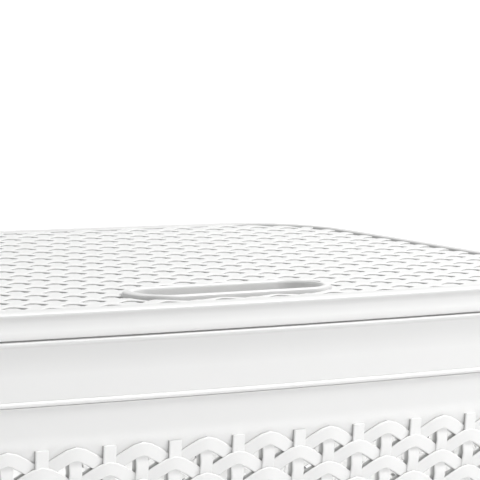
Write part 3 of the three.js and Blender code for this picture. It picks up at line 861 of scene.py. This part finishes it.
def zigzag(column, crown):
    # height of the line through a whole row of arches, with its crowns on even columns
    fromCrown = np.abs(np.mod(column + 1, 2) - 1)
    crownShare = weave["archRadius"] / topPitch
    return crown - weave["halfRow"] * (np.sqrt(fromCrown ** 2 + crownShare ** 2) - crownShare)


topPitch = float(arcLength(np.full(1, hamper["seamAngle"]), panelInset(firstCrown))[0]) / wall["seamColumn"]
print("weave pitch at the top: %.2f mm" % (topPitch / mm))


def bandDepth(z, upper):
    # the top band is flat, swells out towards the weave, then sinks behind the strands; the bottom
    # band only sinks
    if not upper:
        return -wall["recess"] * smoothStep((z - wall["baseTop"]) / wall["footRun"])
    below = lidTop - z
    swell = wall["swell"] * smoothStep((below - wall["swellStart"]) / wall["swellRun"])
    return swell - (wall["swell"] + wall["recess"]) * smoothStep((below - wall["sinkStart"]) / wall["sinkRun"])


handHole = {
    "length": 100 * mm, "height": 28 * mm, "below": 66 * mm,  # below the lid's border
    "trim": 5.5 * mm,             # strands stop this far outside the hole, inside its plain frame
    "stay": 0.5 * mm,             # a strand is laid if some of it moves less than this
    "facets": 96,
}


def holeTop(x):
    # the height at which a hand hole's frame passes over x, and far below where it does not
    reach, radius = (handHole["length"] - handHole["height"]) / 2, handHole["height"] / 2 + handHole["trim"]
    past = np.maximum(np.abs(x) - reach, 0)
    rise = np.sqrt(np.maximum(radius ** 2 - past ** 2, 0))
    return np.where(past < radius, lidTop - handHole["below"] + rise, 0)


def wallBand(first, last, upper, hole=None):
    # a plain band with one edge along the zigzag under the strands, a step and a tongue at the other
    count = int((last - first) * wall["samples"]) + 1
    column = np.linspace(first, last, count)[:, None]
    if upper:
        plain, tongueEnd, way = collarFoot - wall["shoulder"], collarFoot + wall["tongueRise"], 1
        woven = zigzag(column, firstCrown - wall["topDrop"])
        if hole is not None:
            woven = np.maximum(woven, holeTop((column - hole) * topPitch))
        tongueDepth = -(wall["tongueInset"] - hamper["panelInset"])
    else:
        plain, tongueEnd, way = wall["baseTop"], wall["baseTongue"], -1
        woven = zigzag(column, firstCrown - wall["rows"] * weave["halfRow"])
        tongueDepth = -wall["tongueStep"]
    share = np.linspace(0, 1, wall["bandSteps"]) ** wall["bandCrowding"]
    tongueBack = tongueDepth - wall["tongueWall"]
    heights = woven + share[None, :] * (plain - woven)
    outsideDepth = bandDepth(heights, upper)
    insideDepth = np.minimum(outsideDepth - wall["plate"], tongueBack)
    rows = [
        (heights, outsideDepth),
        (np.full((count, 2), plain), np.array([[tongueDepth, tongueDepth - 1e-5]])),
        (np.full((count, 2), tongueEnd), np.array([[tongueDepth, tongueBack]])),
        (heights[:, ::-1], insideDepth[:, ::-1]),
    ]
    z = np.concatenate([r[0] for r in rows], 1)
    depth = np.concatenate([np.broadcast_to(r[1], r[0].shape) for r in rows], 1)
    edge = wall["seamGap"] / topPitch
    inner = np.clip(column, first + edge, last - edge)
    points = wallPoint(np.broadcast_to(inner, z.shape), z, depth)
    return sweptSurface(points[None])


def strandsOnWall(strand, column, z, first, last):
    # lays copies of a strand on the wall at their crossings, kept off the seams
    points = np.broadcast_to(strand, (len(column),) + strand.shape)
    edge = wall["seamGap"] / topPitch
    across = np.clip(column[:, None, None] + points[..., 0] / topPitch, first + edge, last - edge)
    return across, z[:, None, None] + points[..., 1], points[..., 2]


def clearHandHole(column, z, column0):
    # moves points that lie over the hole out to the middle of its frame; tells which strands stay
    middle = lidTop - handHole["below"]
    height = z - middle
    side = np.where(height.mean((1, 2)) > 0, 1.0, -1.0)[:, None, None]
    x, height, moved = pushOut((column - column0) * topPitch, height, side,
                               (handHole["length"] - handHole["height"]) / 2,
                               handHole["height"] / 2 + handHole["trim"])
    return column0 + x / topPitch, middle + height, moved.min((1, 2)) < handHole["stay"]


def wallStrands(first, last, hole):
    # every arch and upright between two seams. On a seam column the strand is cut down its middle
    parts, places = [], []
    stationSets = {"whole": archStations, "right": archStations[4:], "left": archStations[:5]}
    row = np.arange(wall["rows"] + 1)
    column = np.arange(first, last + 1)
    r, c = (v.ravel() for v in np.meshgrid(row, column, indexing="ij"))
    onCrossing = (r + c) % 2 == 0
    r, c = r[onCrossing], c[onCrossing]
    z = firstCrown - r * weave["halfRow"] - (r == 0) * wall["topDrop"]
    halves = {"whole": (c > first) & (c < last), "right": c == first, "left": c == last}
    batches = []
    for half, chosen in halves.items():
        strand, place = archStrands(topPitch, weave["armSlope"], weave, stationSets[half])
        batches.append((strand, place, c[chosen].astype(float), z[chosen]))
    upright, place = uprightStrands(2 * weave["halfRow"], weave)
    lastUpright = r <= wall["rows"] - 1
    batches.append((upright, place, c[lastUpright].astype(float), z[lastUpright]))
    topColumns = column[column % 2 == 1].astype(float)
    stub, stubPlace = uprightStrands(weave["halfRow"] + wall["stubExtra"], dict(weave, uprightDip=0), 3)
    batches.append((stub, stubPlace, topColumns, np.full(len(topColumns), lidTop - wall["stubTop"])))
    for strand, place, columns, heights in batches:
        across, z, depth = strandsOnWall(strand, columns, heights, first, last)
        if hole is not None:
            across, z, keep = clearHandHole(across, z, hole)
            depth = np.broadcast_to(depth, keep.shape + depth.shape[-2:])[keep]
            across, z = across[keep], z[keep]
        depth = depth + weave["standFoot"] + (weave["standTop"] - weave["standFoot"]) * z / firstCrown
        depth = np.minimum(depth, panelInset(z) - wall["clearance"])
        parts.append(sweptSurface(wallPoint(across, z, depth)))
        places.append(np.broadcast_to(place, across.shape + (3,)))
    return parts, places


def wallFlange(column, side):
    # an upright rib that turns in from a wall's edge, for the corner channel to grip
    z = np.array([wall["flangeBottom"], wall["flangeTop"]])[None, :, None]
    near, far = wall["seamGap"], wall["seamGap"] + wall["flange"]
    across = np.array([near, near, far, far])[None, None, :] * side
    start, end = -wall["flangeStart"], -wall["plate"] - wall["flangeDepth"]
    depth = np.array([start, end, end, start])
    inset = panelInset(z)
    angle = columnAngle(np.full(z.shape, float(column)), inset)
    centre = planPoint(angle, inset - depth[None, None, :])
    tangent = np.stack([np.cos(angle), np.sin(angle)], -1)
    spot = centre + tangent * across[..., None]
    points = np.concatenate([spot, np.broadcast_to(z, spot.shape[:-1])[..., None]], -1)
    return sweptSurface(points)


def makeWall(name, node, first, last, hole=None):
    parts, places = wallStrands(first, last, hole)
    woven = makePiece(name + "Weave", parts)
    addStrandPlace(woven, places)
    finishPiece(woven, wovenPlastic, "basket")
    bands = makePiece(name + "Bands", [wallBand(first, last, True, hole), wallBand(first, last, False),
                                       wallFlange(first, 1), wallFlange(last, -1)])
    finishPiece(bands, shellPlastic, "basket")
    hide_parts(node)
    print(name, "has", len(woven.data.polygons), "faces of weave")


makeWall("front", "front_wall", -13, 13)
makeWall("right", "right_wall", 13, 29, hole=21)
makeWall("rear", "rear_wall", 29, 55)
makeWall("left", "left_wall", 55, 71, hole=63)


def makeHoleFrame(name, column):
    # a smooth frame round a hand hole: its section is (growth from the hole, depth) carried round it
    section = softLine([(9.5 * mm, 0.1 * mm), (7.5 * mm, 1.1 * mm), (4.8 * mm, 1.6 * mm), (1.8 * mm, 1.6 * mm),
                        (0.3 * mm, 1.1 * mm), (0, 0), (0, -7 * mm), (1.8 * mm, -7 * mm),
                        (2.2 * mm, -3.6 * mm), (9.5 * mm, -3.2 * mm)], 0.7 * mm, 3, closed=True)
    reach = (handHole["length"] - handHole["height"]) / 2
    turn = np.linspace(0, 2 * math.pi, handHole["facets"], endpoint=False)[:, None]
    shift = np.where(np.cos(turn) >= 0, reach, -reach)
    radius = handHole["height"] / 2 + section[None, :, 0]
    x = shift + radius * np.cos(turn)
    z = lidTop - handHole["below"] + radius * np.sin(turn)
    points = wallPoint(column + x / topPitch, z, np.broadcast_to(section[None, :, 1], x.shape))
    piece = makePiece(name, [loopSurface(points)])
    finishPiece(piece, shellPlastic, "basket")


makeHoleFrame("rightHandHole", 21)
makeHoleFrame("leftHandHole", 63)
print("walls ready")

# base tray
base = {
    "height": 34 * mm, "proud": 1.6 * mm, "wall": 2.4 * mm, "footWidth": 12 * mm,
    "floorBottom": 4 * mm, "floorTop": 6.2 * mm, "bead": 2.2 * mm, "beadRise": 0.9 * mm,
    "ventRows": 3, "ventColumns": 5, "ventLength": 34 * mm, "ventWidth": 7 * mm,
    "ventPitchX": 62 * mm, "ventPitchY": 54 * mm, "ventFlare": (1.02, 1.1), "facets": 96,
}


def makeBaseSkirt():
    # closed profile of the tray's outside, bead, inside and foot, leaning as the walls do
    top, bead = base["height"], base["height"] - base["bead"]
    outer = lambda z: panelInset(z) - base["proud"]
    inner = lambda z: outer(z) + base["wall"]
    profile = [(outer(0) + 1.2 * mm, 0), (outer(0.8 * mm), 1.2 * mm), (outer(bead), bead - 0.45 * mm),
               (outer(bead) + 0.3 * mm, bead - 0.3 * mm), (outer(bead) + 0.3 * mm, bead - 0.05 * mm),
               (outer(top) - base["beadRise"], bead + 0.4 * mm),
               (outer(top) - base["beadRise"], top - 0.5 * mm),
               (outer(top) - 0.3 * mm, top), (inner(top), top), (inner(base["floorTop"]), base["floorTop"]),
               (outer(0) + base["footWidth"], base["floorTop"]), (outer(0) + base["footWidth"], 0)]
    return planRing(softLine(profile, 0.6 * mm, 3, closed=True), (24, 28, 16))


def floorCell(x, y):
    # one panel of the floor with its vent: a ring between the vent's outline and the cell's edge
    steps = base["facets"]
    turn = np.linspace(0, 2 * math.pi, steps, endpoint=False)
    reach, radius = (base["ventLength"] - base["ventWidth"]) / 2, base["ventWidth"] / 2
    shift = np.where(np.cos(turn) >= 0, reach, -reach)
    hole = np.stack([shift + radius * np.cos(turn), radius * np.sin(turn)], -1)
    direction = np.arctan2(hole[:, 1], hole[:, 0])
    halfX, halfY = base["ventPitchX"] / 2, base["ventPitchY"] / 2
    run = np.minimum(halfX / np.maximum(np.abs(np.cos(direction)), 1e-9),
                     halfY / np.maximum(np.abs(np.sin(direction)), 1e-9))
    edge = np.stack([run * np.cos(direction), run * np.sin(direction)], -1)
    rings = [(edge, base["floorBottom"]), (edge, base["floorTop"]),
             (hole * base["ventFlare"], base["floorTop"]),
             (hole, base["floorTop"] - 0.4 * mm), (hole, base["floorBottom"])]
    points = np.stack([np.column_stack([ring + [x, y + centreY], np.full(steps, z)]) for ring, z in rings], 1)
    return loopSurface(points)


def floorEdge():
    # the floor between the block of vent panels and the foot ring
    angles = planAngles(24, 28, 16)
    rim = planPoint(angles, panelInset(0) + base["footWidth"] - 3 * mm)
    halfX = base["ventColumns"] * base["ventPitchX"] / 2
    halfY = base["ventRows"] * base["ventPitchY"] / 2
    offset = rim - [0, centreY]
    run = np.minimum(halfX / np.maximum(np.abs(offset[:, 0]), 1e-9),
                     halfY / np.maximum(np.abs(offset[:, 1]), 1e-9))
    block = offset * run[:, None] + [0, centreY]
    rings = [(rim, base["floorBottom"]), (rim, base["floorTop"]), (block, base["floorTop"]),
             (block, base["floorBottom"])]
    points = np.stack([np.column_stack([ring, np.full(len(angles), z)]) for ring, z in rings], 1)
    return loopSurface(points)


def makeBase():
    cells = []
    for row in range(base["ventRows"]):
        for column in range(base["ventColumns"]):
            cells.append(floorCell((column - (base["ventColumns"] - 1) / 2) * base["ventPitchX"],
                                   (row - (base["ventRows"] - 1) / 2) * base["ventPitchY"]))
    piece = makePiece("baseTray", [makeBaseSkirt(), floorEdge()] + cells)
    finishPiece(piece, shellPlastic, "basket")
    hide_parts("base_tray")


makeBase()
print("base ready")

# carried-over nodes
for nodeName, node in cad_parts.items():
    if "channel" in nodeName or "pin" in nodeName:
        node.data.materials.clear()
        node.data.materials.append(channelPlastic if "channel" in nodeName else pinPlastic)
